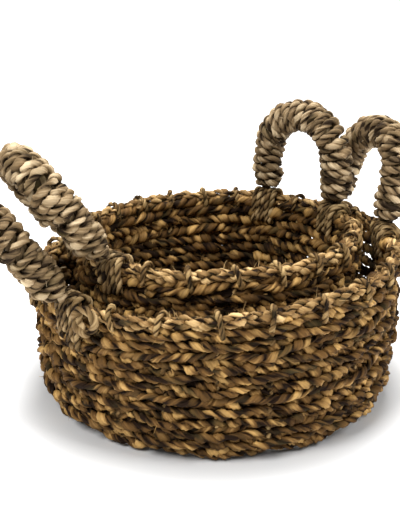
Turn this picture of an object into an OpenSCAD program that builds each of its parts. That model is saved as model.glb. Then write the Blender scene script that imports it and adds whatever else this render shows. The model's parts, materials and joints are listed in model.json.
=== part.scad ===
// Seagrass storage baskets, a nested pair of round woven tubs with rope handles.
// The smaller tub stands inside the larger one and lifts straight out.
// +Z is up. The origin is the centre of the large tub's underside.
// The large tub's right handle stands on the +X side.

/* [Large basket] */
// Radius of the rim rope's centre line
outer_rim_radius = 171; // [150:0.5:200]
// Mean height of the rim rope's centre above the floor
outer_rim_height = 134; // [110:0.5:160]
// How much higher the rim stands on the +X side than in the middle
outer_rim_rise = 12; // [0:0.5:14]
// Number of stakes around the wall
outer_stake_count = 24; // [18:1:30]

/* [Small basket] */
// Radius of the rim rope's centre line
inner_rim_radius = 132; // [112:0.5:144]
// Mean height of the rim rope's centre above the floor
inner_rim_height = 154.5; // [130:0.5:190]
// How much higher the rim stands on the +X side than in the middle
inner_rim_rise = 3; // [0:0.5:14]
// Number of stakes around the wall
inner_stake_count = 22; // [16:1:28]

/* [Weave] */
// Height of one woven row
row_pitch = 11.6; // [10:0.1:13]
// Thickness of the woven rope, a little more than the row height so that rows press together
weft_thickness = 12.2; // [10.5:0.1:14]
// Thickness of a stake
stake_thickness = 5; // [3:0.5:6]
// Thickness of the rope laid along each rim
rim_rope_thickness = 12; // [9:0.5:14]
// Thickness of the base mat
base_thickness = 11; // [8:0.5:16]
// Radius of the turn from the base into the wall
corner_radius = 24; // [14:1:34]
// How far the wall leans outward from the base to the rim
wall_taper = 5; // [0:0.5:12]

/* [Handles] */
// Thickness of a wrapped handle
handle_thickness = 34; // [24:0.5:38]
// Distance between the centres of a handle's two legs
handle_span = 93; // [80:0.5:110]
// Height of the right handles' centre line above their pivots
right_handle_height = 74; // [66:0.5:96]
// Height of the left handles' centre line above their pivots
left_handle_height = 86; // [66:0.5:96]
// Thickness of the rope bundle inside the wrap
handle_core_thickness = 18; // [12:0.5:20]
// Thickness of the rounded foot that each leg narrows to
foot_thickness = 16; // [12:0.5:20]
// Thickness of one lashing strand
lashing_thickness = 5; // [3:0.5:5]
// How far the lashing runs down the wall
lashing_drop = 42; // [24:1:60]

/* [Handle placing] */
// Bearing of the large basket's left handle
outer_left_bearing = 186; // [170:1:190]
// Bearing of the small basket's right handle
inner_right_bearing = 21; // [0:1:30]
// Bearing of the small basket's left handle
inner_left_bearing = 185; // [170:1:190]
// Outward lean of the large basket's right handle
outer_right_lean = 13; // [6:1:60]
// Outward lean of the large basket's left handle
outer_left_lean = 35; // [33:1:70]
// Outward lean of the small basket's right handle
inner_right_lean = 0; // [-20:1:3]
// Outward lean of the small basket's left handle
inner_left_lean = 35; // [10:1:42]
// How far round the rim toward the outside the left handles hang, 0 for on top of the rim
left_hang = 45; // [0:1:50]

/* [Hidden] */
$fn = 48;
// Clearance between pieces that must not touch
gap = 0.3;
rim_r = rim_rope_thickness / 2;
weft_r = weft_thickness / 2;
loop_r = stake_thickness / 2;
// Half width of the strip that joins the rows of a wall
web = 3.6;
// Centre line radius of the loops and lashings that ride over a rim rope
over_r = max(rim_r, weft_r) + gap + 0.3 + loop_r;
lash_r = max(rim_r, weft_r) + gap + 0.3 + lashing_thickness / 2;
handle_r = handle_thickness / 2;
foot_r = foot_thickness / 2;
// Length over which a leg narrows to its foot
foot_taper = handle_r - foot_r + 1;
// Half width of the five strands at one foot
lash_half = 2 * (lashing_thickness + gap) + lashing_thickness / 2;
// Distance from the rim rope's centre to the outside of its loops and lashings
bound_r = max(over_r + loop_r, lash_r + lashing_thickness / 2);
core_r = handle_core_thickness / 2;
outer_tilt = asin(outer_rim_rise / outer_rim_radius);
inner_tilt = asin(inner_rim_rise / inner_rim_radius);
// The small basket stands on the large basket's base mat
inner_floor = base_thickness + gap;

// Radius of the wall's centre line at height z above the basket's own floor
function wall_radius(rim, h, z) =
    rim - wall_taper * max(0, 1 - z / h)
    - (z < corner_radius ? corner_radius - sqrt(pow(corner_radius, 2) - pow(corner_radius - z, 2)) : 0);
// Number of rows that reach past the highest part of the rim
function row_count(h, rise) = ceil((h + rise) / row_pitch) + 1;
// Height of row i's centre above the basket's own floor
function row_height(i) = weft_r + gap + i * row_pitch;
// Height of the rim rope's centre at bearing a
function rim_height(h, rise, a) = h + rise * cos(a);
// Distance from the middle of the basket to the chord between a handle's feet
function chord(rim, half) = sqrt(pow(rim, 2) - pow(half, 2));
// Distance from the rim rope's centre to the pivot of a handle that hangs by an angle
function pivot_reach(rim, hang) =
    bound_r + 1.2 + foot_r
    + sin(hang) * (chord(rim, handle_span / 2 - lash_half) - chord(rim, handle_span / 2));

// Base mat: a flat coil with a groove between its turns
module base_mat(rim, h) {
    r = wall_radius(rim, h, row_height(0)) - weft_r - gap;
    difference() {
        cylinder(r = r, h = base_thickness, $fn = 96);
        for (i = [1 : floor(r / row_pitch) - 1])
            rotate_extrude($fn = 96)
                translate([r - i * row_pitch, base_thickness])
                    circle(r = 1.6, $fn = 24);
    }
}

// One slanted stake line from above the corner to just under the rim
module stake_line(rim, h, rise, a, r, low, high) {
    z1 = low;
    z2 = rim_height(h, rise, a) - high;
    x1 = wall_radius(rim, h, 26);
    x2 = wall_radius(rim, h, h - 10);
    slant = atan((x2 - x1) / (h - 36));
    rotate([0, 0, a])
        translate([x1 + (z1 - 26) * tan(slant), 0, z1])
            rotate([0, slant, 0])
                cylinder(r = r, h = (z2 - z1) / cos(slant), $fn = 24);
}

// Woven wall: rows of rope pressed together, with a passage for each stake
module wall(rim, h, rise, tilt, count) {
    n = row_count(h, rise);
    difference() {
        rotate_extrude($fn = 96) {
            for (i = [0 : n])
                translate([wall_radius(rim, h, row_height(i)), row_height(i)])
                    circle(r = weft_r, $fn = 32);
            for (i = [0 : n - 1])
                polygon([
                    [wall_radius(rim, h, row_height(i)) - web, row_height(i)],
                    [wall_radius(rim, h, row_height(i)) + web, row_height(i)],
                    [wall_radius(rim, h, row_height(i + 1)) + web, row_height(i + 1)],
                    [wall_radius(rim, h, row_height(i + 1)) - web, row_height(i + 1)]
                ]);
        }
        translate([0, 0, h])
            rotate([0, -tilt, 0])
                translate([-2 * rim, -2 * rim, -rim_r - gap])
                    cube([4 * rim, 4 * rim, 2 * h]);
        for (k = [0 : count - 1])
            stake_line(rim, h, rise, (k + 0.5) * 360 / count, loop_r + gap, 24, -30);
    }
}

module stakes(rim, h, rise, count) {
    for (k = [0 : count - 1])
        stake_line(rim, h, rise, (k + 0.5) * 360 / count, loop_r, 24 + gap, rim_r + gap + 0.4);
}

module rim_rope(rim, h, tilt) {
    translate([0, 0, h])
        rotate([0, -tilt, 0])
            rotate_extrude($fn = 96)
                translate([rim, 0])
                    circle(r = rim_r, $fn = 32);
}

// An inverted U of rope that rides over the rim, set across the wall and leaning with it
module over_rim(mid, r, inside, outside, h) {
    rotate([0, atan(wall_taper / h), 0]) {
        rotate([90, 0, 0])
            rotate_extrude(angle = 180, $fn = 48)
                translate([mid, 0])
                    circle(r = r, $fn = 16);
        translate([-mid, 0, -inside])
            cylinder(r = r, h = inside, $fn = 16);
        translate([mid, 0, -outside])
            cylinder(r = r, h = outside, $fn = 16);
    }
}

// Angle between bearing a and the nearer foot of the handle at bearing b
function from_foot(rim, a, b) =
    abs(acos(cos(a - b)) - asin(handle_span / 2 / rim));

// A loop at each stake, left out where a handle's lashing takes its place
module rim_loops(rim, h, rise, count, right, left) {
    clear = asin((lash_half + loop_r + 2 * gap) / rim);
    for (a = [0.5 * 360 / count : 360 / count : 360])
        if (min(from_foot(rim, a, right), from_foot(rim, a, left)) > clear)
            rotate([0, 0, a])
                translate([rim, 0, rim_height(h, rise, a)])
                    over_rim(over_r, loop_r, 9, 9, h);
}

// Places a handle piece: X outward, Y along the rim, Z up the handle from its pivot
module at_handle(rim, h, rise, bearing, lean, hang) {
    reach = pivot_reach(rim, hang);
    across = chord(rim, handle_span / 2) + reach * sin(hang);
    rotate([0, 0, bearing])
        translate([across, 0, rim_height(h, rise, bearing) + reach * cos(hang)])
            rotate([0, lean, 0])
                children();
}

// An arch of round rope with straight legs, from height z0 above the pivot
module arch(r, z0, top) {
    half = handle_span / 2;
    straight = top - half;
    for (s = [-1, 1])
        translate([0, s * half, z0])
            cylinder(r = r, h = straight - z0);
    translate([0, 0, straight])
        rotate([90, 0, 90])
            rotate_extrude(angle = 180, $fn = 96)
                translate([half, 0])
                    circle(r = r);
}

// The rounded end of a leg: full width along the rim, narrowing across it
module handle_foot() {
    intersection() {
        translate([0, 0, -foot_r])
            cylinder(r = handle_r, h = foot_r + foot_taper - gap);
        rotate([90, 0, 0])
            translate([0, 0, -handle_r])
                linear_extrude(height = 2 * handle_r)
                    union() {
                        circle(r = foot_r);
                        polygon([
                            [-foot_r, 0],
                            [foot_r, 0],
                            [handle_r, foot_taper],
                            [-handle_r, foot_taper]
                        ]);
                    }
    }
}

// The core ends in a foot below the wrap on each leg
module handle_core(top) {
    arch(core_r, 0, top);
    for (s = [-1, 1])
        translate([0, s * handle_span / 2, 0])
            handle_foot();
}

module handle_wrap(top) {
    difference() {
        arch(handle_r, foot_taper, top);
        arch(core_r + gap, foot_taper - 1, top);
    }
}

// Five strands beside each other at each foot of a handle
module lashing(rim, h, rise, bearing, outside) {
    foot = asin(handle_span / 2 / rim);
    step = 2 * asin((lashing_thickness + gap) / 2 / (rim - lash_r));
    for (s = [-1, 1])
        for (k = [-2 : 2])
            rotate([0, 0, bearing + s * foot + k * step])
                translate([rim, 0, rim_height(h, rise, bearing + s * foot + k * step)])
                    over_rim(lash_r, lashing_thickness / 2, lashing_drop * 0.6, outside, h);
}

module outer_base() { color([0.62, 0.52, 0.33]) base_mat(outer_rim_radius, outer_rim_height); }
module outer_weft() {
    color([0.66, 0.55, 0.35])
        wall(outer_rim_radius, outer_rim_height, outer_rim_rise, outer_tilt, outer_stake_count);
}
module outer_stakes() {
    color([0.56, 0.46, 0.28])
        stakes(outer_rim_radius, outer_rim_height, outer_rim_rise, outer_stake_count);
}
module outer_rim() { color([0.7, 0.6, 0.4]) rim_rope(outer_rim_radius, outer_rim_height, outer_tilt); }
module outer_rim_loops() {
    color([0.74, 0.64, 0.44])
        rim_loops(
            outer_rim_radius, outer_rim_height, outer_rim_rise, outer_stake_count,
            0, outer_left_bearing
        );
}
module at_outer_right() {
    at_handle(outer_rim_radius, outer_rim_height, outer_rim_rise, 0, outer_right_lean, 0) children();
}
module at_outer_left() {
    at_handle(
        outer_rim_radius, outer_rim_height, outer_rim_rise, outer_left_bearing, outer_left_lean, left_hang
    )
        children();
}
module outer_right_core() { color([0.6, 0.5, 0.34]) at_outer_right() handle_core(right_handle_height); }
module outer_right_wrap() { color([0.72, 0.65, 0.5]) at_outer_right() handle_wrap(right_handle_height); }
module outer_right_lashing() {
    color([0.66, 0.58, 0.42])
        lashing(outer_rim_radius, outer_rim_height, outer_rim_rise, 0, lashing_drop);
}
module outer_left_core() { color([0.6, 0.5, 0.34]) at_outer_left() handle_core(left_handle_height); }
module outer_left_wrap() { color([0.72, 0.65, 0.5]) at_outer_left() handle_wrap(left_handle_height); }
module outer_left_lashing() {
    color([0.66, 0.58, 0.42])
        lashing(outer_rim_radius, outer_rim_height, outer_rim_rise, outer_left_bearing, lashing_drop);
}

// The small basket is drawn above its own floor, so its rim height counts from there
module inner_place() { translate([0, 0, inner_floor]) children(); }
module inner_base() {
    color([0.6, 0.5, 0.32])
        inner_place() base_mat(inner_rim_radius, inner_rim_height - inner_floor);
}
module inner_weft() {
    color([0.64, 0.53, 0.34])
        inner_place()
            wall(
                inner_rim_radius, inner_rim_height - inner_floor, inner_rim_rise,
                inner_tilt, inner_stake_count
            );
}
module inner_stakes() {
    color([0.56, 0.46, 0.28])
        inner_place()
            stakes(inner_rim_radius, inner_rim_height - inner_floor, inner_rim_rise, inner_stake_count);
}
module inner_rim() { color([0.7, 0.6, 0.4]) rim_rope(inner_rim_radius, inner_rim_height, inner_tilt); }
module inner_rim_loops() {
    color([0.74, 0.64, 0.44])
        rim_loops(
            inner_rim_radius, inner_rim_height, inner_rim_rise, inner_stake_count,
            inner_right_bearing, inner_left_bearing
        );
}
module at_inner_right() {
    at_handle(inner_rim_radius, inner_rim_height, inner_rim_rise, inner_right_bearing, inner_right_lean, 0)
        children();
}
module at_inner_left() {
    at_handle(
        inner_rim_radius, inner_rim_height, inner_rim_rise, inner_left_bearing, inner_left_lean, left_hang
    )
        children();
}
module inner_right_core() { color([0.6, 0.5, 0.34]) at_inner_right() handle_core(right_handle_height); }
module inner_right_wrap() { color([0.72, 0.65, 0.5]) at_inner_right() handle_wrap(right_handle_height); }
module inner_right_lashing() {
    color([0.66, 0.58, 0.42])
        lashing(inner_rim_radius, inner_rim_height, inner_rim_rise, inner_right_bearing, 20);
}
module inner_left_core() { color([0.6, 0.5, 0.34]) at_inner_left() handle_core(left_handle_height); }
module inner_left_wrap() { color([0.72, 0.65, 0.5]) at_inner_left() handle_wrap(left_handle_height); }
module inner_left_lashing() {
    color([0.66, 0.58, 0.42])
        lashing(inner_rim_radius, inner_rim_height, inner_rim_rise, inner_left_bearing, 20);
}

outer_base();
outer_weft();
outer_stakes();
outer_rim();
outer_rim_loops();
outer_right_core();
outer_right_wrap();
outer_right_lashing();
outer_left_core();
outer_left_wrap();
outer_left_lashing();
inner_base();
inner_weft();
inner_stakes();
inner_rim();
inner_rim_loops();
inner_right_core();
inner_right_wrap();
inner_right_lashing();
inner_left_core();
inner_left_wrap();
inner_left_lashing();
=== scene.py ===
"""A nested pair of seagrass storage baskets with rope-wound handles.

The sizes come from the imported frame. Every rope is laid from two or four plies of
flat leaf twisted round each other along a path, and the baskets are woven, coiled,
bound and wound from such ropes the way a basket maker does it.
"""

import json
import logging
import math
from dataclasses import dataclass, field, replace
from enum import Enum
from typing import Callable

import bpy
import numpy as np
from mathutils import Matrix, Vector


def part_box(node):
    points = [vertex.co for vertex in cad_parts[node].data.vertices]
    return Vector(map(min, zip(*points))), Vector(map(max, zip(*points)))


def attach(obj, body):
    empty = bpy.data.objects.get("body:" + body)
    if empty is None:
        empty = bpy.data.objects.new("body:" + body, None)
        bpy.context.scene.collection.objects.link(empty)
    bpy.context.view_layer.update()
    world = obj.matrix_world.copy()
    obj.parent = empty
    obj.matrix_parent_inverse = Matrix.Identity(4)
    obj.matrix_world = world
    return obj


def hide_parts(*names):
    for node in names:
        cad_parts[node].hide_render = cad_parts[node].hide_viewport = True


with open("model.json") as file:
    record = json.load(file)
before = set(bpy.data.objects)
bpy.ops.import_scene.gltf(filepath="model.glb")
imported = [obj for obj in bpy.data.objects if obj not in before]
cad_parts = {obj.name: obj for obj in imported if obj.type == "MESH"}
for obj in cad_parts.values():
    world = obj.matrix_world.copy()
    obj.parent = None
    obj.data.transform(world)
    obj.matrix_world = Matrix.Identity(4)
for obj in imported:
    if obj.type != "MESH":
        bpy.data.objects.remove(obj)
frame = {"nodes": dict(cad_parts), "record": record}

log = logging.getLogger("baskets")
MM = 0.001
TAU = 2.0 * math.pi
UP = np.array([0.0, 0.0, 1.0])
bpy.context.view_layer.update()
# Share of a rope's radius that one ply takes, by the number of plies
PLY_SHARE = {2: 0.56, 4: 0.46}
# Waves added together in a random curve, and points of a ring round a basket
WAVES = 5
RING_POINTS = 1440
# Colour tone: how far the grooves between plies are darkened as painted shade, and how far plies and places
# along a ply differ at random
GROOVE_PAINTED_SHADE = 2.3
PLY_SHADE = 0.18
PLACE_SHADE = 0.42
# Half the distance between a handle's feet, and half the rim that its lashing takes
FOOT_HALF_SPAN = 46.5 * MM
FOOT_HALF_ROOM = 16.5 * MM
# Longest reach of a lashing down the outside of each basket
LASHING_DROP = {"outer": 41.0 * MM, "inner": 26.0 * MM}
Tree = bpy.types.NodeTree
Socket = bpy.types.NodeSocket
Rng = np.random.Generator


class Side(Enum):
    """Which handle of a basket, named as the frame names it."""

    RIGHT = "right"
    LEFT = "left"


# ---------------------------------------------------------------- ropes


@dataclass(frozen=True)
class RopeKind:
    """How one kind of rope is laid.

    Attributes:
        radius: Outside radius of the rope, in metres.
        lay: Length along the rope of one full turn of a ply, in metres.
        plies: Number of plies twisted together.
        sides: Corners of a ply's section.
        step: Distance between sections along the rope, in metres.
        fullness: How far a ply bulges past its share of the rope.
        flatness: How much wider than thick a ply is, as a flat leaf.
        ridge: Depth of a ply's lengthwise ridges, as a share of its radius.
        uneven: How much a ply's thickness and place vary, as a share.
    """

    radius: float
    lay: float
    plies: int = 2
    sides: int = 8
    step: float = 2.2 * MM
    fullness: float = 1.0
    flatness: float = 1.25
    ridge: float = 0.06
    uneven: float = 0.12


def unit(v: np.ndarray) -> np.ndarray:
    """Scales rows of vectors to length one."""
    return v / np.maximum(np.linalg.norm(v, axis=-1, keepdims=True), 1e-12)


def drift(rng: Rng, along: np.ndarray, wavelength: float) -> np.ndarray:
    """A smooth random curve of about unit height.

    Args:
        rng: Seeded source of the curve's phases.
        along: Places at which the curve is read, in metres.
        wavelength: Typical length of one swing, in metres.

    Returns:
        The curve's value at each place.
    """
    total = np.zeros_like(along)
    for _ in range(WAVES):
        rate = TAU / (wavelength * rng.uniform(0.6, 1.8))
        total += np.sin(along * rate + rng.uniform(0.0, TAU))
    return total / math.sqrt(WAVES / 2.0)


class Sheaf:
    """Collects the strands of one piece and turns them into one mesh."""

    def __init__(self, name: str) -> None:
        """Starts an empty sheaf for the piece called name."""
        self.name = name
        self.points: list[np.ndarray] = []
        self.blades: list[np.ndarray] = []
        self.tones_and_painted_shade: list[np.ndarray] = []
        self.quads: list[np.ndarray] = []
        self.caps: list[list[int]] = []
        self.spans: list[tuple[np.ndarray, np.ndarray, int]] = []
        self.count = 0
        self.length = 0.0
        self.girth = 0.0

    def add_tube(self, rings: np.ndarray, tone: np.ndarray, closed: bool, strand: float) -> None:
        """Adds one tube.

        Args:
            rings: Section points, as rows x sides x 3.
            tone: Shade value of each section point, which on a rope's plies holds the painted shade of its
                grooves, as rows x sides.
            closed: Whether the last section joins the first.
            strand: A number of its own for this strand, which shifts its pattern.
        """
        rows, sides, _ = rings.shape
        centre = rings.mean(axis=1)
        ahead = np.linalg.norm(np.diff(centre, axis=0), axis=1)
        along = np.concatenate([[0.0], np.cumsum(ahead)])
        girth = float(np.linalg.norm(rings - np.roll(rings, 1, axis=1), axis=2).sum(axis=1).mean())
        turn = np.arange(sides) / sides * TAU
        blade = np.empty((rows, sides, 3))
        blade[..., 0] = along[:, None] + strand * 1.37
        blade[..., 1] = np.cos(turn)[None] * girth / TAU
        blade[..., 2] = np.sin(turn)[None] * girth / TAU
        index = self.count + np.arange(rows * sides).reshape(rows, sides)
        following = np.roll(index, -1, axis=0) if closed else index[1:]
        current = index if closed else index[:-1]
        sides_of_quad = [current, np.roll(current, -1, 1), np.roll(following, -1, 1), following]
        quads = np.stack(sides_of_quad, axis=-1)
        self.points.append(rings.reshape(-1, 3))
        self.blades.append(blade.reshape(-1, 3))
        self.tones_and_painted_shade.append(np.broadcast_to(tone, (rows, sides)).reshape(-1))
        self.quads.append(quads.reshape(-1, 4))
        if not closed:
            self.caps.append(index[0].tolist()[::-1])
            self.caps.append(index[-1].tolist())
        steps = np.append(ahead, ahead.mean()) if closed else ahead
        starts = self.length + np.concatenate([[0.0], np.cumsum(steps)[:-1]])
        self.spans.append((starts, steps, sides))
        self.length += float(steps.sum())
        self.girth = max(self.girth, girth)
        self.count += rows * sides

    def build(self, material: bpy.types.Material) -> bpy.types.Object:
        """Makes the piece's object.

        Args:
            material: Finish of the whole piece.

        Returns:
            The new object, linked to the scene.
        """
        points = np.concatenate(self.points).astype(np.float32)
        quads = np.concatenate(self.quads).astype(np.int32)
        corners = np.concatenate([quads.reshape(-1), *[np.array(c, np.int32) for c in self.caps]])
        sizes = np.array([4] * len(quads) + [len(c) for c in self.caps], np.int32)
        starts = np.concatenate([[0], np.cumsum(sizes)[:-1]]).astype(np.int32)
        mesh = bpy.data.meshes.new(self.name)
        mesh.vertices.add(len(points))
        mesh.vertices.foreach_set("co", points.reshape(-1))
        mesh.loops.add(len(corners))
        mesh.loops.foreach_set("vertex_index", corners)
        mesh.polygons.add(len(sizes))
        mesh.polygons.foreach_set("loop_start", starts)
        mesh.polygons.foreach_set("use_smooth", np.ones(len(sizes), bool))
        blade = mesh.attributes.new("blade", "FLOAT_VECTOR", "POINT")
        blade.data.foreach_set("vector", np.concatenate(self.blades).astype(np.float32).reshape(-1))
        # The tone attribute holds each point's random tone and, on plies, the painted shade of the grooves
        tone = mesh.attributes.new("tone", "FLOAT", "POINT")
        tone.data.foreach_set("value", np.concatenate(self.tones_and_painted_shade).astype(np.float32))
        layer = mesh.uv_layers.new(name="OFBake")
        layer.data.foreach_set("uv", self.chart(len(corners)).astype(np.float32))
        mesh.update(calc_edges=True)
        mesh.validate()
        mesh.materials.append(material)
        piece = bpy.data.objects.new(self.name, mesh)
        bpy.context.scene.collection.objects.link(piece)
        return piece

    def chart(self, corner_count: int) -> np.ndarray:
        """Lays every tube flat in rows that fill the texture square.

        Args:
            corner_count: Number of face corners in the mesh.

        Returns:
            The texture coordinates of the corners, as one flat array.
        """
        rows = max(1, math.ceil(math.sqrt(self.length / max(self.girth, 1e-6))))
        width = self.length / rows * 1.002 + 1e-9
        found = []
        for starts, steps, n in self.spans:
            row = np.floor(starts / width)
            left = (starts - row * width) / width * 0.985
            right = left + steps / width * 0.985
            turn = np.arange(n)
            low = (row[:, None] + 0.06 + 0.88 * turn[None] / n) / rows
            high = (row[:, None] + 0.06 + 0.88 * (turn[None] + 1) / n) / rows
            left, right = (np.repeat(side[:, None], n, axis=1) for side in (left, right))
            found.append(np.stack([left, low, left, high, right, high, right, low], -1).reshape(-1))
        flat = np.concatenate(found)
        rest = np.full(corner_count * 2 - len(flat), 0.9995)
        return np.concatenate([flat, rest])


def spaced(path: np.ndarray, step: float) -> tuple[np.ndarray, np.ndarray]:
    """Distances along a path of its own points and of evenly spaced ones."""
    lengths = np.linalg.norm(np.diff(path, axis=0), axis=1)
    along = np.concatenate([[0.0], np.cumsum(lengths)])
    count = max(4, int(round(along[-1] / step)))
    return along, np.linspace(0.0, along[-1], count + 1)


def read_at(places: np.ndarray, along: np.ndarray, values: np.ndarray) -> np.ndarray:
    """Reads rows of vectors at places along a path."""
    return np.stack([np.interp(places, along, values[:, k]) for k in range(3)], axis=1)


def resample(path: np.ndarray, step: float, closed: bool) -> np.ndarray:
    """Spaces points evenly along a path.

    Args:
        path: The path's points.
        step: Wanted distance between points.
        closed: Whether the path's end joins its start.

    Returns:
        Evenly spaced points, without a repeated end when closed.
    """
    if closed:
        path = np.concatenate([path, path[:1]])
    along, places = spaced(path, step)
    return read_at(places[:-1] if closed else places, along, path)


def carried_frame(path: np.ndarray, reference: np.ndarray, closed: bool) -> tuple[np.ndarray, ...]:
    """Gives each point of a path its direction and two cross directions.

    Args:
        path: Evenly spaced points.
        reference: The direction that the first cross direction keeps closest to,
            one vector or one for each point.
        closed: Whether the path is a ring.

    Returns:
        Directions along, and the two across, as three arrays.
    """
    if closed:
        ahead = unit(np.roll(path, -1, axis=0) - np.roll(path, 1, axis=0))
    else:
        ahead = unit(np.gradient(path, axis=0))
    reference = np.broadcast_to(reference, path.shape)
    first = unit(reference - (reference * ahead).sum(1, keepdims=True) * ahead)
    return ahead, first, np.cross(ahead, first)


def sections(
    centre: np.ndarray, first: np.ndarray, second: np.ndarray, wide: np.ndarray, high: np.ndarray
) -> np.ndarray:
    """Section points of a tube, at widths along two cross directions of its centre line."""
    return centre[:, None] + wide[..., None] * first[:, None] + high[..., None] * second[:, None]


def lay_rope(
    sheaf: Sheaf,
    path: np.ndarray,
    kind: RopeKind,
    rng: Rng,
    reference: np.ndarray = UP,
    closed: bool = False,
    tone: float = 0.0,
    swelling: Callable[[np.ndarray], np.ndarray] | None = None,
    hand: int = 1,
) -> None:
    """Twists plies round each other along a path and adds them to a sheaf.

    Args:
        sheaf: Receives the plies.
        path: The rope's centre line.
        kind: How the rope is laid.
        rng: Seeded source of its unevenness.
        reference: Direction that the section frame keeps to.
        closed: Whether the rope is a ring.
        tone: Shade of the whole rope, dark below zero and pale above.
        swelling: Gives the rope's thickness factor at shares 0 to 1 of its length.
        hand: 1 for a rope twisted one way, -1 for the other.
    """
    path = resample(path, kind.step, closed)
    ahead, first, second = carried_frame(path, reference, closed)
    rows = len(path)
    step = np.linalg.norm(path[1] - path[0])
    along = np.arange(rows) * step
    length = rows * step
    turns = max(1, round(length / kind.lay)) if closed else length / kind.lay
    turns = turns * hand
    spin = along / length * turns * TAU + rng.uniform(0.0, TAU)
    if not closed:
        spin = spin + 0.35 * drift(rng, along, kind.lay * 5.0)
    size = np.ones(rows) if swelling is None else swelling(np.arange(rows) / rows)
    ply_radius = kind.radius * PLY_SHARE[kind.plies] * kind.fullness
    offset = kind.radius - ply_radius
    corner = np.arange(kind.sides) / kind.sides * TAU
    for ply in range(kind.plies):
        angle = spin + TAU * ply / kind.plies
        out = np.cos(angle)[:, None] * first + np.sin(angle)[:, None] * second
        across = -np.sin(angle)[:, None] * first + np.cos(angle)[:, None] * second
        slope = offset * turns * TAU / length
        line = unit(ahead + slope * across)
        wide = np.cross(line, out)
        swell = 1.0 + kind.uneven * self_fading(drift(rng, along, kind.lay * 0.9), closed)
        place = 1.0 + 0.6 * kind.uneven * self_fading(drift(rng, along, kind.lay * 2.0), closed)
        centre = path + out * (offset * place * size)[:, None]
        lobes = rng.integers(3, 6)
        roll = 1.5 * self_fading(drift(rng, along, kind.lay * 3.0), closed)
        ripple = 1.0 + kind.ridge * np.cos(lobes * corner[None] + roll[:, None] * 2.0)
        thick = ply_radius * (size * swell)[:, None] * ripple
        breadth = thick * kind.flatness * np.sin(corner)[None]
        rings = sections(centre, out, wide, thick * np.cos(corner)[None], breadth)
        if not closed:
            fade = np.ones(rows)
            ends = min(2, rows // 2)
            fade[:ends] = fade[-ends:][::-1] = np.linspace(0.45, 0.9, ends)
            rings = centre[:, None] + (rings - centre[:, None]) * fade[:, None, None]
        # Painted shade: the parts of a ply nearer the rope's axis, down in the grooves between plies, are
        # darkened for the shade that falls there
        lift = np.linalg.norm(rings - path[:, None], axis=2) / kind.radius
        shade = tone + rng.normal(0.0, PLY_SHADE) + PLACE_SHADE * drift(rng, along, kind.lay * 1.4)
        groove = np.clip((lift - 0.35) / 0.65, 0.0, 1.0) - 1.0
        sheaf.add_tube(rings, shade[:, None] + GROOVE_PAINTED_SHADE * groove, closed, float(rng.uniform(0.0, 50.0)))


def self_fading(curve: np.ndarray, closed: bool) -> np.ndarray:
    """Brings a random curve to zero at both ends of a ring, so that they meet."""
    if not closed:
        return curve
    near = np.minimum(np.arange(len(curve)), np.arange(len(curve))[::-1])
    return curve * np.clip(near / 6.0, 0.0, 1.0)


def add_stray_fibre(sheaf: Sheaf, root: np.ndarray, heading: np.ndarray, length: float, rng: Rng) -> None:
    """Adds one loose fibre that curls away from a rope.

    Args:
        sheaf: Receives the fibre.
        root: Where it leaves the rope.
        heading: Direction in which it leaves.
        length: Its length in metres.
        rng: Seeded source of its curl.
    """
    side = unit(rng.normal(size=3))
    t = np.linspace(0.0, 1.0, 7)[:, None]
    path = root + unit(heading) * t * length + side * (t**2) * length * rng.uniform(0.2, 0.6)
    ahead, first, second = carried_frame(path, unit(np.cross(heading, side)), False)
    corner = np.arange(3) / 3 * TAU
    radius = rng.uniform(0.18, 0.42) * MM * (1.0 - 0.75 * t[:, :1])
    rings = sections(path, first, second, radius * np.cos(corner), radius * np.sin(corner))
    sheaf.add_tube(rings, np.full((7, 3), rng.uniform(0.1, 0.9)), False, float(rng.uniform(0, 50)))


# ---------------------------------------------------------------- finishes


def socket_in(group: Tree, name: str, kind: str, default: object = None) -> None:
    """Gives a node group a named input."""
    made = group.interface.new_socket(name=name, in_out="INPUT", socket_type=kind)
    if default is not None:
        made.default_value = default


def socket_out(group: Tree, name: str, kind: str) -> None:
    """Gives a node group a named output."""
    group.interface.new_socket(name=name, in_out="OUTPUT", socket_type=kind)


def add_node(tree: Tree, kind: str, inputs: dict[str, object]) -> bpy.types.Node:
    """Adds a node to a tree and sets some of its inputs."""
    node = tree.nodes.new(kind)
    for name, value in inputs.items():
        node.inputs[name].default_value = value
    return node


def math_node(tree: Tree, operation: str, first: object, second: object = None) -> Socket:
    """Adds a Math node.

    Args:
        tree: Tree that receives the node.
        operation: The node's operation.
        first: Socket or number for its first input.
        second: Socket or number for its second input.

    Returns:
        The node's output.
    """
    node = tree.nodes.new("ShaderNodeMath")
    node.operation = operation
    for slot, value in enumerate((first, second)):
        if value is None:
            continue
        if isinstance(value, Socket):
            tree.links.new(value, node.inputs[slot])
        else:
            node.inputs[slot].default_value = value
    return node.outputs[0]


def scaled(tree: Tree, value: Socket, gain: float, middle: float = 0.0) -> Socket:
    """Adds nodes that multiply a value's distance from a middle by a gain."""
    if middle:
        value = math_node(tree, "SUBTRACT", value, middle)
    return math_node(tree, "MULTIPLY", value, gain)


def stretched_noise(tree: Tree, vector: Socket, along: float, around: float, detail: float) -> Socket:
    """Adds noise drawn out along a blade.

    Args:
        tree: Tree that receives the nodes.
        vector: Blade coordinates in metres.
        along: Swings for each metre along the blade.
        around: Swings for each metre round the blade.
        detail: The noise's detail.

    Returns:
        The noise value.
    """
    scale = tree.nodes.new("ShaderNodeVectorMath")
    scale.operation = "MULTIPLY"
    scale.inputs[1].default_value = (along, around, around)
    noise = add_node(tree, "ShaderNodeTexNoise", {"Scale": 1.0, "Detail": detail, "Roughness": 0.6})
    tree.links.new(vector, scale.inputs[0])
    tree.links.new(scale.outputs[0], noise.inputs["Vector"])
    return noise.outputs["Fac"]


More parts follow.
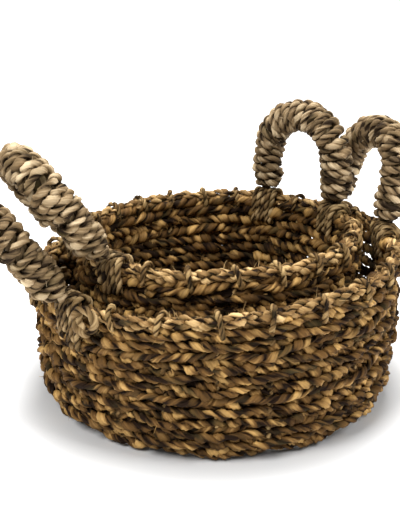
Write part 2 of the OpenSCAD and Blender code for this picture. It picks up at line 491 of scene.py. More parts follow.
def blade_grain_group() -> Tree:
    """Makes the shared group for the lengthwise fibres of a dried blade."""
    group = bpy.data.node_groups.new("Blade grain", "ShaderNodeTree")
    socket_in(group, "Blade", "NodeSocketVector")
    socket_out(group, "Height", "NodeSocketFloat")
    socket_out(group, "Fibre", "NodeSocketFloat")
    ins, outs = (group.nodes.new(n) for n in ("NodeGroupInput", "NodeGroupOutput"))
    fine = stretched_noise(group, ins.outputs["Blade"], 45.0, 2600.0, 2.0)
    broad = stretched_noise(group, ins.outputs["Blade"], 60.0, 700.0, 3.0)
    crease = stretched_noise(group, ins.outputs["Blade"], 28.0, 340.0, 1.0)
    fibre = math_node(group, "ADD", scaled(group, fine, 0.3), scaled(group, broad, 0.3))
    fibre = math_node(group, "ADD", fibre, scaled(group, crease, 0.4))
    group.links.new(fibre, outs.inputs["Height"])
    group.links.new(fibre, outs.inputs["Fibre"])
    return group


def blade_colour_group() -> Tree:
    """Makes the shared group that colours a dried blade by tone, with the painted shade of its grooves, and
    by age and fibre.
    """
    group = bpy.data.node_groups.new("Blade colour", "ShaderNodeTree")
    socket_in(group, "Blade", "NodeSocketVector")
    socket_in(group, "Tone And Painted Shade", "NodeSocketFloat")
    socket_in(group, "Fibre", "NodeSocketFloat")
    for name in ("Dark", "Middle", "Pale", "Green"):
        socket_in(group, name, "NodeSocketColor", (0.5, 0.5, 0.5, 1.0))
    socket_in(group, "Green Share", "NodeSocketFloat", 0.3)
    socket_out(group, "Color", "NodeSocketColor")
    socket_out(group, "Dullness", "NodeSocketFloat")
    ins, outs = (group.nodes.new(n) for n in ("NodeGroupInput", "NodeGroupOutput"))
    patch = stretched_noise(group, ins.outputs["Blade"], 38.0, 90.0, 3.0)
    swing = scaled(group, patch, 1.7, 0.5)
    streak = scaled(group, ins.outputs["Fibre"], 3.4, 0.5)
    level = math_node(group, "ADD", math_node(group, "ADD", ins.outputs["Tone And Painted Shade"], swing), streak)
    level = math_node(group, "ADD", scaled(group, level, 0.42), 0.52)
    # Low levels, among them the painted shade of the grooves, take the dark colour
    lower = mixed(group, clamped(group, level, 0.0, 0.5), ins.outputs["Dark"], ins.outputs["Middle"])
    upper = mixed(group, clamped(group, level, 0.5, 1.0), lower, ins.outputs["Pale"])
    age = stretched_noise(group, ins.outputs["Blade"], 21.0, 40.0, 2.0)
    green = math_node(group, "MULTIPLY", clamped(group, age, 0.5, 0.68), ins.outputs["Green Share"])
    final = mixed(group, green, upper, ins.outputs["Green"])
    group.links.new(final, outs.inputs["Color"])
    group.links.new(clamped(group, level, 1.0, 0.0), outs.inputs["Dullness"])
    return group


def clamped(tree: Tree, value: Socket, low: float, high: float) -> Socket:
    """Adds a Map Range node that takes low..high to 0..1 and clamps."""
    node = add_node(tree, "ShaderNodeMapRange", {"From Min": low, "From Max": high})
    tree.links.new(value, node.inputs["Value"])
    return node.outputs["Result"]


def mixed(tree: Tree, share: Socket, first: Socket, second: Socket) -> Socket:
    """Adds a colour Mix node and returns its result."""
    node = tree.nodes.new("ShaderNodeMix")
    node.data_type = "RGBA"
    tree.links.new(share, node.inputs[0])
    tree.links.new(first, node.inputs[6])
    tree.links.new(second, node.inputs[7])
    return node.outputs[2]


@dataclass(frozen=True)
class SeagrassFinish:
    """Finish of one kind of seagrass.

    Attributes:
        name: The material's name.
        dark: Colour of the painted shade in the grooves, and of old blades.
        middle: Colour of most blades.
        pale: Colour of sun-bleached blades.
        green_share: How strongly the colour of young blades shows.
        green: Colour of blades cut young.
        roughness: Roughness range, from smooth blade to dusty groove.
        grain: Depth of the fibre relief, in metres.
    """

    name: str
    dark: tuple[float, float, float]
    middle: tuple[float, float, float]
    pale: tuple[float, float, float]
    green_share: float
    green: tuple[float, float, float] = (0.115, 0.090, 0.030)
    roughness: tuple[float, float] = (0.42, 0.85)
    grain: float = 0.9 * MM

    def build(self, grain: Tree, colour: Tree) -> bpy.types.Material:
        """Makes the material.

        Args:
            grain: The shared fibre group.
            colour: The shared colour group.

        Returns:
            The new material.
        """
        material = bpy.data.materials.new(self.name)
        material.use_nodes = True
        tree = material.node_tree
        shader = tree.nodes["Principled BSDF"]
        blade = tree.nodes.new("ShaderNodeAttribute")
        blade.attribute_name = "blade"
        tone = tree.nodes.new("ShaderNodeAttribute")
        tone.attribute_name = "tone"
        fibres = tree.nodes.new("ShaderNodeGroup")
        fibres.node_tree = grain
        tint = tree.nodes.new("ShaderNodeGroup")
        tint.node_tree = colour
        for slot, value in (
            ("Dark", self.dark),
            ("Middle", self.middle),
            ("Pale", self.pale),
            ("Green", self.green),
        ):
            tint.inputs[slot].default_value = (*value, 1.0)
        tint.inputs["Green Share"].default_value = self.green_share
        smooth, dusty = self.roughness
        rough = add_node(tree, "ShaderNodeMapRange", {"To Min": smooth, "To Max": dusty})
        bump = add_node(tree, "ShaderNodeBump", {"Strength": 0.9, "Distance": self.grain})
        links = tree.links
        links.new(blade.outputs["Vector"], fibres.inputs["Blade"])
        links.new(blade.outputs["Vector"], tint.inputs["Blade"])
        links.new(tone.outputs["Fac"], tint.inputs["Tone And Painted Shade"])
        links.new(fibres.outputs["Fibre"], tint.inputs["Fibre"])
        links.new(tint.outputs["Color"], shader.inputs["Base Color"])
        links.new(tint.outputs["Dullness"], rough.inputs["Value"])
        links.new(rough.outputs["Result"], shader.inputs["Roughness"])
        links.new(fibres.outputs["Height"], bump.inputs["Height"])
        links.new(bump.outputs["Normal"], shader.inputs["Normal"])
        shader.inputs["Specular IOR Level"].default_value = 0.16
        return material


class Finishes:
    """The finishes of the pair, each built once."""

    def __init__(self) -> None:
        """Builds the shared groups and every material."""
        grain, colour = blade_grain_group(), blade_colour_group()
        self.made = {}
        # Columns: slot, dark colour (painted shade in the grooves, and old blades), middle, pale, green
        # share
        for slot, dark, middle, pale, green_share in (
            ("woven_rope", (0.012, 0.0045, 0.001), (0.145, 0.071, 0.0178), (0.60, 0.360, 0.120), 0.3),
            ("stake_rope", (0.012, 0.006, 0.002), (0.150, 0.084, 0.028), (0.50, 0.335, 0.145), 0.3),
            ("rim_rope", (0.014, 0.006, 0.002), (0.250, 0.138, 0.046), (0.74, 0.500, 0.225), 0.3),
            ("base_coil", (0.010, 0.004, 0.001), (0.105, 0.056, 0.018), (0.38, 0.245, 0.098), 0.3),
            ("handle_core", (0.016, 0.009, 0.004), (0.120, 0.078, 0.036), (0.34, 0.250, 0.130), 0.3),
            ("handle_wrap", (0.022, 0.012, 0.005), (0.235, 0.155, 0.076), (0.72, 0.560, 0.350), 0.25),
            ("lashing", (0.014, 0.007, 0.003), (0.180, 0.108, 0.042), (0.52, 0.365, 0.180), 0.3),
        ):
            name = "Seagrass " + slot.replace("_", " ")
            finish = SeagrassFinish(name, dark, middle, pale, green_share)
            self.made[slot] = finish.build(grain, colour)

    def __getitem__(self, slot: str) -> bpy.types.Material:
        """The material for a record slot."""
        return self.made[slot]


def place(sheaf: Sheaf, slot: str, finishes: Finishes, body: str, node: str) -> None:
    """Builds a sheaf and hands the piece to the frame.

    Args:
        sheaf: The piece's strands.
        slot: The record's material slot.
        finishes: The finishes.
        body: The body that the piece rides on.
        node: The solid that the piece stands for.
    """
    piece = sheaf.build(finishes[slot])
    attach(piece, body)
    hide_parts(node)
    log.info("%s: %d points, %.1f m of ply", piece.name, sheaf.count, sheaf.length)


# ---------------------------------------------------------------- baskets


def swing_joint(key: str) -> dict:
    """The frame's record of the hinge that a handle swings on."""
    joints = frame["record"]["behaviour"]["joints"]
    return next(joint for joint in joints if joint["child"] == f"{key}_handle")


@dataclass
class Basket:
    """One woven basket, with its sizes read from the frame.

    Attributes:
        name: "outer" or "inner", as in the frame's node names.
        stakes: Number of stakes.
        rows: Number of woven rows below the rim.
        seed: Start of its random unevenness.
        rim_rope: Radius of the frame's rim rope.
        top_gap: Distance from the rim's centre line down to the top row.
        corner: Radius of the turn from base to wall.
        taper: How much narrower the wall is at its foot than at its rim.
        weave_swing: How far a woven rope moves out and in past the stakes.
        pair_gap: Distance of a row's outer and inner rope from the wall's middle.
        inner_fullness: How much thicker a row's inner rope is than its outer one.
        rope_fibres: Number of stray fibres on a woven rope.
        rim_fibres: Number of stray fibres on the rim.
        weft: Rope of the woven rows.
        stake: Rope of the stakes.
        band: Rope of one strand of the rim.
        band_strands: Number of strands twisted into the rim.
        band_radius: Outside radius of the twisted rim.
        band_lay: Length along the rim of one full turn of a strand.
        loop: Rope of the loops over the rim.
        coil: Rope of the base mat.
        coil_pitch: Distance between the mat's turns.
        coil_heart: Radius at which the mat's coil starts.
        tie: Rope of the handles' lashings.
        rim_radius: Radius of the rim's centre line.
        rim_height: Mean height of the rim's centre line.
        rim_rise: How far the rim climbs and falls from its mean height.
        floor: Height of the basket's underside.
        base_radius: Radius of the base mat.
        foot_offset: Angle from a handle's middle to each of its feet.
        foot_room: Angle beside a foot that the rim loops leave free.
        handle_bearings: Bearing of each handle's middle.
    """

    name: str
    stakes: int
    rows: int
    seed: int
    rim_rope: float = 6.0 * MM
    top_gap: float = 10.6 * MM
    corner: float = 24.0 * MM
    taper: float = 5.0 * MM
    weave_swing: float = 2.3 * MM
    pair_gap: float = 3.1 * MM
    inner_fullness: float = 1.32
    rope_fibres: int = 9
    rim_fibres: int = 120
    weft: RopeKind = RopeKind(
        3.9 * MM, 22.5 * MM, sides=7, step=2.2 * MM, flatness=0.96, fullness=1.16, ridge=0.2, uneven=0.3
    )
    stake: RopeKind = RopeKind(3.4 * MM, 17.0 * MM, sides=6, step=2.6 * MM)
    band: RopeKind = RopeKind(
        3.5 * MM, 20.0 * MM, sides=7, step=2.0 * MM, flatness=0.98, fullness=1.12, ridge=0.2, uneven=0.28
    )
    band_strands: int = 3
    band_radius: float = 6.6 * MM
    band_lay: float = 58.0 * MM
    loop: RopeKind = RopeKind(2.6 * MM, 14.0 * MM, sides=6, step=1.6 * MM, uneven=0.16)
    coil: RopeKind = RopeKind(5.4 * MM, 26.0 * MM, sides=7, step=3.0 * MM, fullness=1.12)
    coil_pitch: float = 10.6 * MM
    coil_heart: float = 4.0 * MM
    tie: RopeKind = RopeKind(2.9 * MM, 17.0 * MM, sides=7, step=1.7 * MM, uneven=0.15)
    rim_radius: float = field(init=False)
    rim_height: float = field(init=False)
    rim_rise: float = field(init=False)
    floor: float = field(init=False)
    base_radius: float = field(init=False)
    foot_offset: float = field(init=False)
    foot_room: float = field(init=False)
    handle_bearings: dict[Side, float] = field(init=False)

    def __post_init__(self) -> None:
        """Reads the rim's and the base's sizes from the frame."""
        low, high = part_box(f"{self.name}_rim")
        self.rim_radius = (high[1] - low[1]) / 2.0 - self.rim_rope
        self.rim_height = (high[2] + low[2]) / 2.0
        self.rim_rise = (high[2] - low[2]) / 2.0 - self.rim_rope
        low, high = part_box(f"{self.name}_base")
        self.floor = low[2]
        self.base_radius = (high[0] - low[0]) / 2.0
        self.handle_bearings = {}
        for side in Side:
            axis = swing_joint(f"{self.name}_{side.value}")["axis"]
            self.handle_bearings[side] = math.atan2(-axis[0], axis[1])
        self.foot_offset = math.asin(FOOT_HALF_SPAN / self.rim_radius)
        self.foot_room = FOOT_HALF_ROOM / self.rim_radius
        rng = self.rng(1)
        self.waves = [
            (int(rng.integers(2, 8)), rng.uniform(18.0, 60.0), rng.uniform(0, TAU), rng.uniform(0, TAU))
            for _ in range(7)
        ]

    @property
    def body(self) -> str:
        """The frame body of this basket's own pieces."""
        return f"{self.name}_basket"

    def rng(self, part: int) -> Rng:
        """A seeded random source for one part of the basket."""
        return np.random.default_rng(self.seed * 100 + part)

    def from_foot(self, bearing: float, middle: float) -> float:
        """Angle between a bearing and the nearer foot of the handle at a middle bearing."""
        away = abs((bearing - middle + math.pi) % TAU - math.pi)
        return abs(away - self.foot_offset)

    def rim_at(self, bearing: np.ndarray) -> np.ndarray:
        """Height of the rim rope's centre at a bearing."""
        return self.rim_height + self.rim_rise * np.cos(bearing)

    def wall_radius(self, height: np.ndarray) -> np.ndarray:
        """Radius of the wall's middle at a height above the basket's floor."""
        full = self.rim_height - self.floor
        lean = self.taper * np.clip(1.0 - height / full, 0.0, 1.0)
        low = np.clip(self.corner - height, 0.0, self.corner)
        return self.rim_radius - lean - (self.corner - np.sqrt(self.corner**2 - low**2))

    def wobble(self, bearing: np.ndarray, height: np.ndarray) -> tuple[np.ndarray, np.ndarray]:
        """How far hand work strays from true.

        Args:
            bearing: Bearings round the basket.
            height: Heights above the floor.

        Returns:
            Outward and upward strays.
        """
        out = np.zeros_like(bearing)
        rise = np.zeros_like(bearing)
        for turns, rate, p, q in self.waves:
            out = out + np.sin(turns * bearing + rate * height + p)
            rise = rise + np.sin((turns + 2) * bearing - 0.6 * rate * height + q)
        return out * 0.5 * MM, rise * 0.6 * MM

    def at(self, bearing: np.ndarray, radius: np.ndarray, height: np.ndarray) -> np.ndarray:
        """Points at bearings, radii and heights above the frame's floor."""
        return np.stack(
            [radius * np.cos(bearing), radius * np.sin(bearing), np.broadcast_to(height, bearing.shape)], -1
        )

    def row_line(self, row: int, side: int) -> np.ndarray:
        """Centre line of one rope of a woven row, over and under the stakes.

        Args:
            row: Number of the row, from the bottom.
            side: 1 for the outer rope of the row, -1 for the inner one.

        Returns:
            Points of the ring.
        """
        bearing = np.linspace(0.0, TAU, RING_POINTS, endpoint=False)
        first = self.floor + 1.5 * self.weft.radius + 0.4 * MM
        last = self.rim_at(bearing) - self.top_gap
        pitch = (last - first) / (self.rows - 1)
        height = first + pitch * (row + (0.5 if side < 0 else 0.0))
        swing = np.sin(self.stakes / 2 * bearing + math.pi * row)
        over = np.sign(swing) * np.abs(swing) ** 0.8
        out, rise = self.wobble(bearing, height)
        settle = min(1.0, (row + 0.5) / 2.0)
        radius = self.wall_radius(height - self.floor) + out * settle
        radius = radius + side * self.pair_gap + over * self.weave_swing
        ripple = drift(self.rng(50 + row), bearing * self.rim_radius, 70.0 * MM)
        ripple = ripple * np.clip(np.minimum(bearing, TAU - bearing) / 0.1, 0.0, 1.0)
        height = height + (rise + 0.8 * MM * ripple - 1.1 * MM * swing) * settle
        return self.at(bearing, radius, height)

    def weave_wall(self, finishes: Finishes) -> None:
        """Weaves the wall's rows, an outer and an inner rope in each."""
        rng = self.rng(2)
        sheaf = Sheaf(f"{self.name}_woven_wall")
        for row in range(self.rows):
            for side in (1, -1):
                line = self.row_line(row, side)
                hand = int(rng.choice([1, 1, 1, 1, -1]))
                shade = rng.normal(0.0, 0.12)
                radius = self.weft.radius * (1.0 if side > 0 else self.inner_fullness)
                kind = replace(self.weft, radius=radius, lay=self.weft.lay * rng.uniform(0.85, 1.15))
                lay_rope(
                    sheaf, line, kind, rng, closed=True, tone=shade, hand=hand, swelling=self.thick_and_thin
                )
                for _ in range(self.rope_fibres):
                    k = int(rng.integers(0, len(line)))
                    outward = unit(np.array([line[k, 0], line[k, 1], 0.0]) * side)
                    root = line[k] + outward * self.weft.radius * 0.8
                    heading = outward + rng.normal(0.0, 0.7, 3)
                    add_stray_fibre(sheaf, root, heading, rng.uniform(3.0, 8.0) * MM, rng)
        place(sheaf, "woven_rope", finishes, self.body, f"{self.name}_weft")

    def set_stakes(self, finishes: Finishes) -> None:
        """Stands the stakes in the wall, from the base's edge to the rim."""
        rng = self.rng(3)
        sheaf = Sheaf(f"{self.name}_stake_ropes")
        for k in range(self.stakes):
            bearing = (k + 0.5) * TAU / self.stakes
            top = self.rim_at(bearing) - self.floor - self.rim_rope
            rise = np.linspace(6.0 * MM, top, 24)
            angles = np.full(24, bearing)
            out, _ = self.wobble(angles, rise + self.floor)
            radius = self.wall_radius(rise) + out * np.clip(rise / 0.03, 0.0, 1.0)
            line = self.at(angles, radius, rise + self.floor)
            outward = np.array([math.cos(bearing), math.sin(bearing), 0.0])
            lay_rope(sheaf, line, self.stake, rng, outward, tone=rng.normal(-0.1, 0.15))
        place(sheaf, "stake_rope", finishes, self.body, f"{self.name}_stakes")

    def coil_base(self, finishes: Finishes) -> None:
        """Coils the flat base mat from one rope and closes its edge with a ring."""
        rng = self.rng(4)
        sheaf = Sheaf(f"{self.name}_base_mat")
        reach = self.base_radius - self.coil.radius
        turns = (reach - self.coil_heart) / self.coil_pitch
        t = np.linspace(0.0, 1.0, int(turns * 110))
        bearing = t * turns * TAU
        radius = self.coil_heart + t * (reach - self.coil_heart)
        height = self.floor + self.coil.radius + 0.9 * MM
        line = self.at(bearing, radius, np.full_like(bearing, height))
        lay_rope(sheaf, line, self.coil, rng)
        ring = np.linspace(0.0, TAU, 480, endpoint=False)
        edge = self.at(ring, np.full_like(ring, reach), np.full_like(ring, height))
        lay_rope(sheaf, edge, self.coil, rng, closed=True)
        place(sheaf, "base_coil", finishes, self.body, f"{self.name}_base")

    def lay_rim(self, finishes: Finishes) -> None:
        """Lays the twisted strands along the rim."""
        rng = self.rng(5)
        sheaf = Sheaf(f"{self.name}_rim_band")
        bearing = np.linspace(0.0, TAU, RING_POINTS, endpoint=False)
        out, rise = self.wobble(bearing, self.rim_at(bearing))
        dip = np.abs(np.sin(self.stakes / 2 * bearing))
        radius = self.rim_radius + 0.5 * out
        height = self.rim_at(bearing) + rise * 1.2 - 0.9 * MM * dip
        line = self.at(bearing, radius, height)
        turns = round(TAU * self.rim_radius / self.band_lay)
        reach = (self.band_radius - self.band.radius) * self.pinch(bearing / TAU)
        for k in range(self.band_strands):
            angle = turns * bearing + TAU * k / self.band_strands
            strand = self.at(bearing, radius + reach * np.cos(angle), height + reach * np.sin(angle))
            lay_rope(sheaf, strand, self.band, rng, closed=True, tone=rng.normal(0.15, 0.12))
        for _ in range(self.rim_fibres):
            k = int(rng.integers(0, len(line)))
            heading = UP + rng.normal(0.0, 0.9, 3)
            root = line[k] + unit(heading) * self.band_radius * 0.85
            add_stray_fibre(sheaf, root, heading, rng.uniform(3.0, 9.0) * MM, rng)
        place(sheaf, "rim_rope", finishes, self.body, f"{self.name}_rim")

    def thick_and_thin(self, share: np.ndarray) -> np.ndarray:
        """Thickness factor of a woven rope, drawn tight where it passes behind a stake."""
        return 1.0 + 0.07 * np.sin(self.stakes / 2 * TAU * share) + 0.05 * np.sin(31.0 * TAU * share)

    def pinch(self, share: np.ndarray) -> np.ndarray:
        """Spread of the rim's strands, drawn in where the stake loops hold them."""
        return 1.04 - 0.16 * np.abs(np.sin(self.stakes / 2 * TAU * share)) ** 6

    def over_rim(
        self, bearing: float, slant: float, reach: float, inside: float, outside: float
    ) -> np.ndarray:
        """A line that climbs one face of the wall, crosses the rim and goes down the other.

        Args:
            bearing: Where it crosses the rim.
            slant: Sideways shift from its inner to its outer end, as an angle.
            reach: Distance from the rim's centre at the crossing.
            inside: How far it runs down the inner face.
            outside: How far it runs down the outer face.

        Returns:
            Points from the inner to the outer end.
        """
        rise = float(self.rim_at(bearing))
        turn = np.linspace(math.pi, 0.0, 17)
        across = np.concatenate([np.full(8, -reach), np.cos(turn) * reach, np.full(8, reach)])
        height = np.concatenate(
            [np.linspace(-inside, -1.5 * MM, 8), np.sin(turn) * reach, np.linspace(-1.5 * MM, -outside, 8)]
        )
        share = np.linspace(-0.5, 0.5, len(across))
        angles = bearing + slant * share
        wall = self.wall_radius(np.minimum(rise + height, rise) - self.floor) - self.rim_radius
        tuck = np.zeros_like(across)
        tuck[0], tuck[-1] = 0.45, 0.45
        return self.at(angles, self.rim_radius + wall + across * (1.0 - tuck), rise + height)

    def tie_loops(self, finishes: Finishes) -> None:
        """Ties a loop of each stake's end over the rim rope."""
        rng = self.rng(6)
        sheaf = Sheaf(f"{self.name}_stake_loops")
        reach = self.band_radius + self.loop.radius * 0.3
        held = [self.handle_bearings[side] for side in Side]
        for k in range(self.stakes):
            bearing = (k + 0.5) * TAU / self.stakes
            if min(self.from_foot(bearing, middle) for middle in held) < self.foot_room:
                continue
            bearing += rng.normal(0.0, 0.006)
            slant = rng.uniform(0.02, 0.075) * rng.choice([-1.0, 1.0])
            line = self.over_rim(bearing, slant, reach, rng.uniform(7, 12) * MM, rng.uniform(8, 13) * MM)
            outward = np.array([-math.sin(bearing), math.cos(bearing), 0.0])
            lay_rope(sheaf, line, self.loop, rng, outward, tone=rng.normal(0.2, 0.2))
        place(sheaf, "stake_rope", finishes, self.body, f"{self.name}_rim_loops")

    def build(self, finishes: Finishes) -> None:
        """Makes the basket from its base up."""
        self.coil_base(finishes)
        self.set_stakes(finishes)
        self.weave_wall(finishes)
        self.lay_rim(finishes)
        self.tie_loops(finishes)


# ---------------------------------------------------------------- handles


@dataclass
class Handle:
    """One rope-wound handle with the lashings at its feet.

    Attributes:
        basket: The basket that it belongs to.
        side: Which of the basket's handles.
        thickness: Thickness of the wound handle.
        foot: Half thickness that it narrows to at its feet.
        taper: Length over which it narrows.
        sink: How far the winding runs on past the pivots.
        core_sink: How far the core runs on past the pivots.
        wrap: Rope of the winding.
        core: Rope bundle inside it.
        pitch: Distance between the winding's turns.
        tie_pitch: Distance between a lashing's strands.
        tie_reach: Distance of those strands from the rim's centre.
        roll_gap: Distance along the rim from a foot to the rolled rope end.
        wrap_fibres: Number of stray fibres on the winding.
    """

    basket: Basket
    side: Side
    thickness: float = 34.0 * MM
    foot: float = 10.5 * MM
    taper: float = 9.0 * MM
    sink: float = 5.6 * MM
    core_sink: float = 9.0 * MM
    wrap: RopeKind = RopeKind(
        4.5 * MM, 22.0 * MM, step=1.7 * MM, flatness=1.0, fullness=1.12, ridge=0.18, uneven=0.22
    )
    core: RopeKind = RopeKind(8.0 * MM, 90.0 * MM, plies=4, sides=8, step=4.0 * MM)
    pitch: float = 8.2 * MM
    tie_pitch: float = 5.5 * MM
    tie_reach: float = 9.6 * MM
    roll_gap: float = 27.0 * MM
    wrap_fibres: int = 34

    def __post_init__(self) -> None:
        """Reads the handle's pivot, lean, span and height from the frame."""
        self.key = f"{self.basket.name}_{self.side.value}"
        joint = swing_joint(self.key)
        self.pivot = np.array(joint["pos_m"])
        self.axis = unit(np.array(joint["axis"]))
        self.outward = np.cross(self.axis, UP)
        mesh = frame["nodes"][f"{self.key}_wrap"].data
        points = np.empty(len(mesh.vertices) * 3, np.float32)
        mesh.vertices.foreach_get("co", points)
        away = points.reshape(-1, 3) - self.pivot
        middle = away.mean(axis=0)
        lean = math.atan2(float(middle @ self.outward), float(middle @ UP))
        self.upright = UP * math.cos(lean) + self.outward * math.sin(lean)
        self.face = self.outward * math.cos(lean) - UP * math.sin(lean)
        self.half_span = float(np.abs(away @ self.axis).max()) - self.thickness / 2
        self.height = float((away @ self.upright).max()) - self.thickness / 2

    def arch(self, step: float, below: float) -> np.ndarray:
        """The handle's centre line, from foot to foot.

        Args:
            step: Distance between points.
            below: How far it runs on past each pivot.

        Returns:
            Points of the centre line.
        """
        straight = self.height - self.half_span
        leg = np.linspace(-below, straight, 24)[:-1]
        turn = np.linspace(math.pi, 0.0, 90)
        sideways = np.concatenate(
            [
                np.full_like(leg, -self.half_span),
                np.cos(turn) * self.half_span,
                np.full_like(leg, self.half_span),
            ]
        )
        rise = np.concatenate([leg, straight + np.sin(turn) * self.half_span, leg[::-1]])
        path = self.pivot + sideways[:, None] * self.axis + rise[:, None] * self.upright
        return resample(path, step, False)

    def winding_reach(self, climb: np.ndarray) -> tuple[np.ndarray, np.ndarray]:
        """Half widths of the winding's centre line at heights above the pivot.

        Args:
            climb: Heights up the leg from the pivot, below zero under it.

        Returns:
            Half width across the rim and half width along it.
        """
        full = self.thickness / 2 - self.wrap.radius
        narrow = self.foot - 0.8 * self.wrap.radius
        share = np.clip(climb / self.taper, 0.0, 1.0)
        sunk = np.clip(-climb, 0.0, narrow)
        across = narrow + (full - narrow) * share - (narrow - np.sqrt(narrow**2 - sunk**2))
        return across, full * np.sqrt(1.0 - (sunk / self.foot) ** 2)

    def wind_wrap(self, finishes: Finishes, rng: Rng) -> None:
        """Winds the wrap rope round the arch, closing it in to each foot."""
        sheaf = Sheaf(f"{self.key}_handle_wrap")
        line = self.arch(0.4 * MM, self.sink)
        _, first, second = carried_frame(line, self.face, False)
        total = float(np.linalg.norm(np.diff(line, axis=0), axis=1).sum())
        along = np.linspace(0.0, total, len(line))
        climb = np.minimum(along, total - along) - self.sink
        across, beside = self.winding_reach(climb)
        stray = 0.4 * MM * drift(rng, along, 50.0 * MM) * np.clip(climb / self.taper, 0.0, 1.0)
        angle = along / self.pitch * TAU + 0.6 * drift(rng, along, 40.0 * MM)
        path = (
            line
            + ((across + stray) * np.cos(angle))[:, None] * first
            + ((beside + stray) * np.sin(angle))[:, None] * second
        )
        outward = outward_of(path, line, self.wrap.step)
        lay_rope(sheaf, path, self.wrap, rng, outward, tone=0.05)
        for _ in range(self.wrap_fibres):
            k = int(rng.integers(0, len(path)))
            away = unit(path[k] - line[k])
            root = path[k] + away * self.wrap.radius * 0.8
            add_stray_fibre(sheaf, root, away + rng.normal(0.0, 0.5, 3), rng.uniform(2.0, 6.0) * MM, rng)
        place(sheaf, "handle_wrap", finishes, f"{self.key}_handle", f"{self.key}_wrap")

    def bundle_core(self, finishes: Finishes, rng: Rng) -> None:
        """Lays the rope bundle inside the wrap."""
        sheaf = Sheaf(f"{self.key}_handle_core")
        lay_rope(sheaf, self.arch(2.0 * MM, self.core_sink), self.core, rng, self.face, tone=-0.2)
        place(sheaf, "handle_core", finishes, f"{self.key}_handle", f"{self.key}_core")

    def tie_lashing(self, finishes: Finishes, rng: Rng) -> None:
        """Ties five strands over the rim at each foot."""
        basket = self.basket
        sheaf = Sheaf(f"{self.key}_foot_lashing")
        middle = basket.handle_bearings[self.side]
        drop = LASHING_DROP[basket.name]
        for end in (-1.0, 1.0):
            slant = rng.uniform(0.02, 0.06) * rng.choice([-1.0, 1.0])
            for k in range(-2, 3):
                bearing = middle + end * basket.foot_offset + k * self.tie_pitch / basket.rim_radius
                inside, outside = rng.uniform(18, 27) * MM, drop * rng.uniform(0.55, 1.0)
                line = basket.over_rim(bearing, slant, self.tie_reach, inside, outside)
                lay_rope(sheaf, line, basket.tie, rng, self.axis, tone=rng.normal(0.1, 0.2))
        if self.side is Side.LEFT and basket.name == "outer":
            self.roll_end(sheaf, middle + basket.foot_offset + self.roll_gap / basket.rim_radius, rng)
        place(sheaf, "lashing", finishes, basket.body, f"{self.key}_lashing")

    def roll_end(self, sheaf: Sheaf, bearing: float, rng: Rng) -> None:
        """Rolls a spare rope end into a ring on the outside of the rim.

        Args:
            sheaf: Receives the rope.
            bearing: The ring's middle.
            rng: Seeded source of its unevenness.
        """
        basket = self.basket
        turn = np.linspace(0.0, 1.45 * TAU, 60)
        wide = 9.0 * MM + 1.3 * MM * turn / TAU
        across = np.cos(turn + 2.4) * wide
        rise = np.sin(turn + 2.4) * wide - 4.0 * MM
        angles = bearing + across / basket.rim_radius
        proud = basket.rim_radius + 10.5 * MM + 2.0 * MM * turn / TAU
        path = basket.at(angles, proud, basket.rim_at(angles) + rise)
        rolled = RopeKind(3.9 * MM, 22.0 * MM, sides=7, step=1.7 * MM, uneven=0.15)
        facing = np.array([math.cos(bearing), math.sin(bearing), 0.0])
        lay_rope(sheaf, path, rolled, rng, facing, tone=0.15)

    def build(self, finishes: Finishes) -> None:
        """Makes the handle from its core out."""
        part = 10 if self.side is Side.RIGHT else 20
        self.bundle_core(finishes, self.basket.rng(part))
        self.wind_wrap(finishes, self.basket.rng(part + 1))
        self.tie_lashing(finishes, self.basket.rng(part + 2))


def outward_of(path: np.ndarray, line: np.ndarray, step: float) -> np.ndarray:
    """Directions from a core line out to a winding, spaced as its rope will be.

    Args:
        path: The winding's centre line.
        line: The core's point beside each point of the winding.
        step: The rope's section spacing.

    Returns:
        One outward direction for each section.
    """
    along, places = spaced(path, step)
    return unit(read_at(places, along, unit(path - line)))


# ---------------------------------------------------------------- studio


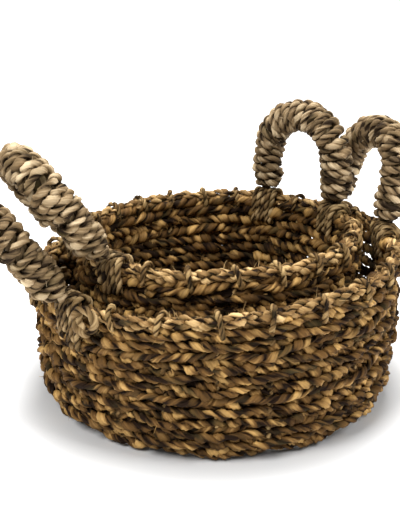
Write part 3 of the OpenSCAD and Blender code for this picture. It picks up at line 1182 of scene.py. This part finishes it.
@dataclass(frozen=True)
class Studio:
    """Pale floor that emits painted light away from the baskets, soft light and the camera.

    Attributes:
        bearing: The camera's bearing from the front, in degrees.
        distance: Its distance from the baskets' middle on the floor, in metres.
        height: Its height, in metres.
        sideways: How far it stands left of the middle, in metres.
        pitch: How far it looks down, in degrees.
        lens: Focal length in millimetres on a 36 mm sensor.
        cast: Strength of the surround as light.
        shown: Strength of the surround as the camera sees it.
        glow_from: Distance from the middle at which the floor's painted light starts to whiten it, in
            metres; nearer, it gets none.
        glow_to: Distance at which it is white.
    """

    bearing: float = -22.0
    distance: float = 0.800
    height: float = 0.392
    sideways: float = -0.0157
    pitch: float = 18.4
    lens: float = 59.9
    cast: float = 0.22
    shown: float = 1.2
    glow_from: float = 0.165
    glow_to: float = 0.25

    def build(self) -> None:
        """Makes the floor, the lights, the world and the camera."""
        scene = bpy.context.scene
        scene.view_settings.view_transform = "Standard"
        self.lay_floor()
        self.light("Left softbox", (-0.8, -0.9, 1.35), 0.7, 26.0)
        self.light("Right softbox", (1.2, -0.6, 1.2), 0.7, 18.0)
        self.light("Top softbox", (0.1, 0.45, 1.6), 0.9, 30.0)
        scene.world = self.surround()
        self.camera()

    def surround(self) -> bpy.types.World:
        """Makes the white surround, dimmer as light than it looks to the camera."""
        world = bpy.data.worlds.new("Studio")
        world.use_nodes = True
        tree = world.node_tree
        lit, seen = tree.nodes["Background"], tree.nodes.new("ShaderNodeBackground")
        for background, strength in ((lit, self.cast), (seen, self.shown)):
            background.inputs["Color"].default_value = (1.0, 1.0, 1.0, 1.0)
            background.inputs["Strength"].default_value = strength
        path = tree.nodes.new("ShaderNodeLightPath")
        mix = tree.nodes.new("ShaderNodeMixShader")
        tree.links.new(path.outputs["Is Camera Ray"], mix.inputs[0])
        tree.links.new(lit.outputs[0], mix.inputs[1])
        tree.links.new(seen.outputs[0], mix.inputs[2])
        tree.links.new(mix.outputs[0], tree.nodes["World Output"].inputs["Surface"])
        return world

    def turned(self) -> Matrix:
        """The turn from the front to the camera's bearing."""
        return Matrix.Rotation(math.radians(self.bearing), 4, "Z")

    def lay_floor(self) -> None:
        """Lays the grey floor, which emits painted light that whitens it away from the baskets."""
        mesh = bpy.data.meshes.new("studio_floor")
        r = 6.0
        mesh.from_pydata([(-r, -r, 0), (r, -r, 0), (r, r, 0), (-r, r, 0)], [], [(0, 1, 2, 3)])
        floor = bpy.data.objects.new("studio_floor", mesh)
        floor.location.z = -0.0006
        material = bpy.data.materials.new("Studio floor with painted light")
        material.use_nodes = True
        shader = material.node_tree.nodes["Principled BSDF"]
        # Grey floor with painted light: it emits more the farther it lies from the middle, so it is white
        # far off, while near the baskets it gets none and the contact shadow shows darker
        shader.inputs["Base Color"].default_value = (0.6, 0.6, 0.6, 1.0)
        shader.inputs["Roughness"].default_value = 0.7
        shader.inputs["Emission Color"].default_value = (1.0, 1.0, 1.0, 1.0)
        spot = material.node_tree.nodes.new("ShaderNodeTexCoord")
        span = material.node_tree.nodes.new("ShaderNodeVectorMath")
        span.operation = "LENGTH"
        links = material.node_tree.links
        links.new(spot.outputs["Object"], span.inputs[0])
        reach = {"From Min": self.glow_from, "From Max": self.glow_to, "To Min": 0.0, "To Max": 1.0}
        painted_glow = add_node(material.node_tree, "ShaderNodeMapRange", reach)
        painted_glow.interpolation_type = "SMOOTHSTEP"
        links.new(span.outputs["Value"], painted_glow.inputs["Value"])
        links.new(painted_glow.outputs["Result"], shader.inputs["Emission Strength"])
        mesh.materials.append(material)
        bpy.context.scene.collection.objects.link(floor)

    def light(self, name: str, spot: tuple[float, float, float], size: float, watts: float) -> None:
        """Adds one soft light that looks at the baskets.

        Args:
            name: The light's name.
            spot: Its place as seen from the front, in metres.
            size: Its side, in metres.
            watts: Its power.
        """
        lamp = bpy.data.lights.new(name, "AREA")
        lamp.size, lamp.energy = size, watts
        holder = bpy.data.objects.new(name, lamp)
        holder.location = self.turned() @ Vector(spot)
        aim = Vector((0.0, 0.0, 0.1)) - holder.location
        holder.rotation_euler = aim.to_track_quat("-Z", "Y").to_euler()
        bpy.context.scene.collection.objects.link(holder)

    def camera(self) -> None:
        """Sets up the camera."""
        data = bpy.data.cameras.new("camera")
        data.lens, data.sensor_width = self.lens, 36.0
        camera = bpy.data.objects.new("camera", data)
        place = Vector((self.sideways, -self.distance, self.height))
        tilt = Matrix.Rotation(math.radians(90.0 - self.pitch), 4, "X")
        camera.matrix_world = self.turned() @ Matrix.Translation(place) @ tilt
        bpy.context.scene.collection.objects.link(camera)
        bpy.context.scene.camera = camera


def main() -> None:
    """Builds both baskets, their handles and the studio."""
    logging.basicConfig(level=logging.INFO, format="%(message)s")
    finishes = Finishes()
    pair = [Basket("outer", stakes=24, rows=12, seed=7), Basket("inner", stakes=22, rows=13, seed=11)]
    for basket in pair:
        basket.build(finishes)
        for side in Side:
            Handle(basket, side).build(finishes)
    Studio().build()


if __name__ == "__main__":
    main()
